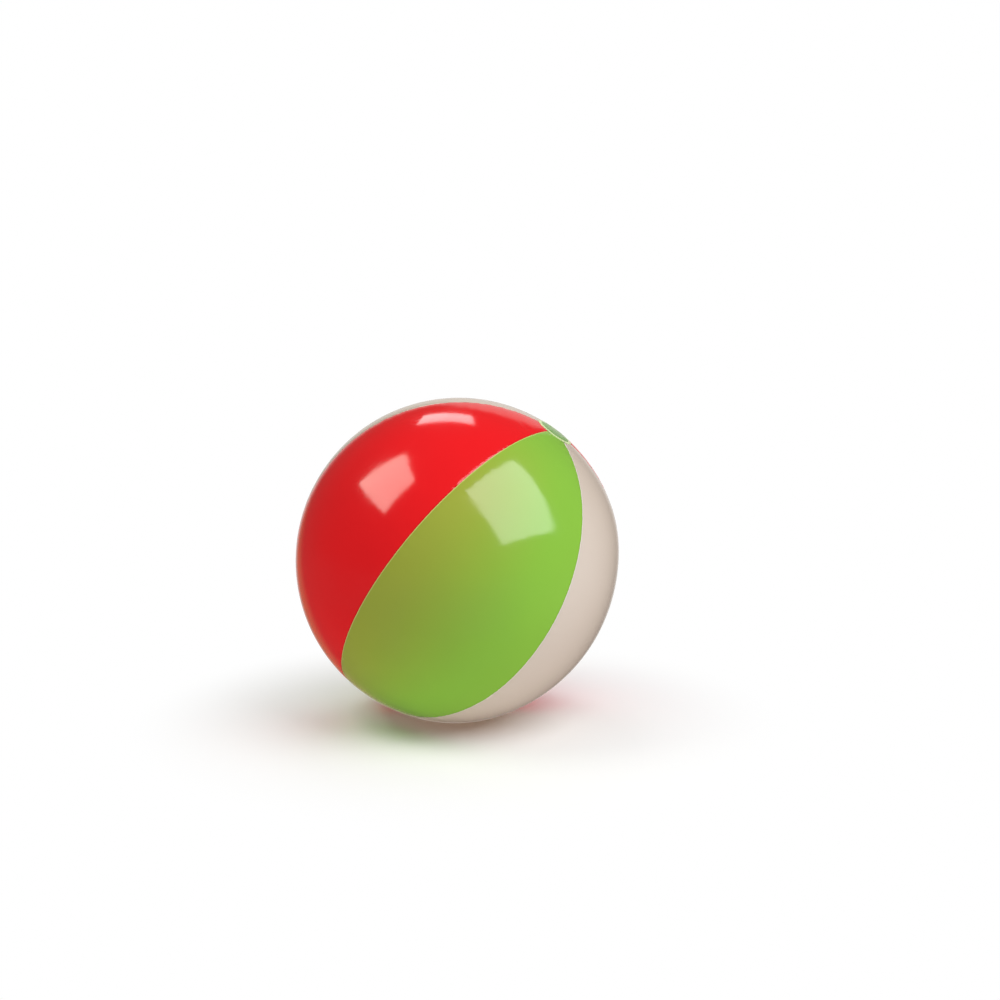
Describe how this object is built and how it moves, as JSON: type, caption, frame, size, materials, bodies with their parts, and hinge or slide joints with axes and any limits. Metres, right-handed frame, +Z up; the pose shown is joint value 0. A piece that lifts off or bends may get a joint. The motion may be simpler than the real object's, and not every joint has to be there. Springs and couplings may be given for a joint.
{
  "type": "inflatable beach ball",
  "caption": "Large inflated vinyl beach ball of welded gores with a disc over each pole and a push-in valve with a hinged plug.",
  "frame": {"origin": "on the floor under the middle of the ball, which stands on its own flattened contact patch", "axes": "+Z up from the floor, the green front panel faces -Y, the upper pole leans towards +X and slightly towards -Y"},
  "size_m": [0.7198, 0.7194, 0.7175],
  "materials": {
    "vinyl_red": "glossy vinyl film",
    "vinyl_green": "glossy vinyl film",
    "vinyl_white": "glossy vinyl film",
    "vinyl_disc": "glossy vinyl film",
    "valve_vinyl": "satin soft moulded vinyl"
  },
  "bodies": {
    "ball": {"gore_green_front": "vinyl_green", "gore_white_right": "vinyl_white", "gore_red_right": "vinyl_red", "gore_green_back": "vinyl_green", "gore_white_back": "vinyl_white", "gore_red_left": "vinyl_red", "polar_disc_upper": "vinyl_disc", "polar_disc_lower": "vinyl_disc", "valve_flange": "valve_vinyl", "valve_membrane": "valve_vinyl"},
    "stem": {"valve_stem": "valve_vinyl", "plug_strap": "valve_vinyl"},
    "plug": {"valve_plug": "valve_vinyl"},
    "flap": {"check_flap": "valve_vinyl"}
  },
  "joints": [
    {"name": "valve_stem_slide", "type": "slide", "parent": "ball", "child": "stem", "axis": [-0.2491, 0.2861, 0.9253], "range_m": [0, 0.016], "deforming": ["valve_membrane"]},
    {"name": "plug_hinge", "type": "hinge", "parent": "stem", "child": "plug", "pos_m": [-0.0794, 0.09869, 0.69111], "axis": [0.3861, 0.9055, -0.176], "range_deg": [0, 135], "deforming": ["plug_strap"]},
    {"name": "flap_hinge", "type": "hinge", "parent": "stem", "child": "flap", "pos_m": [-0.07954, 0.09646, 0.67928], "axis": [-0.3861, -0.9055, 0.176], "range_deg": [0, 60], "stiffness_Nm_per_rad": 0.0005}
  ]
}
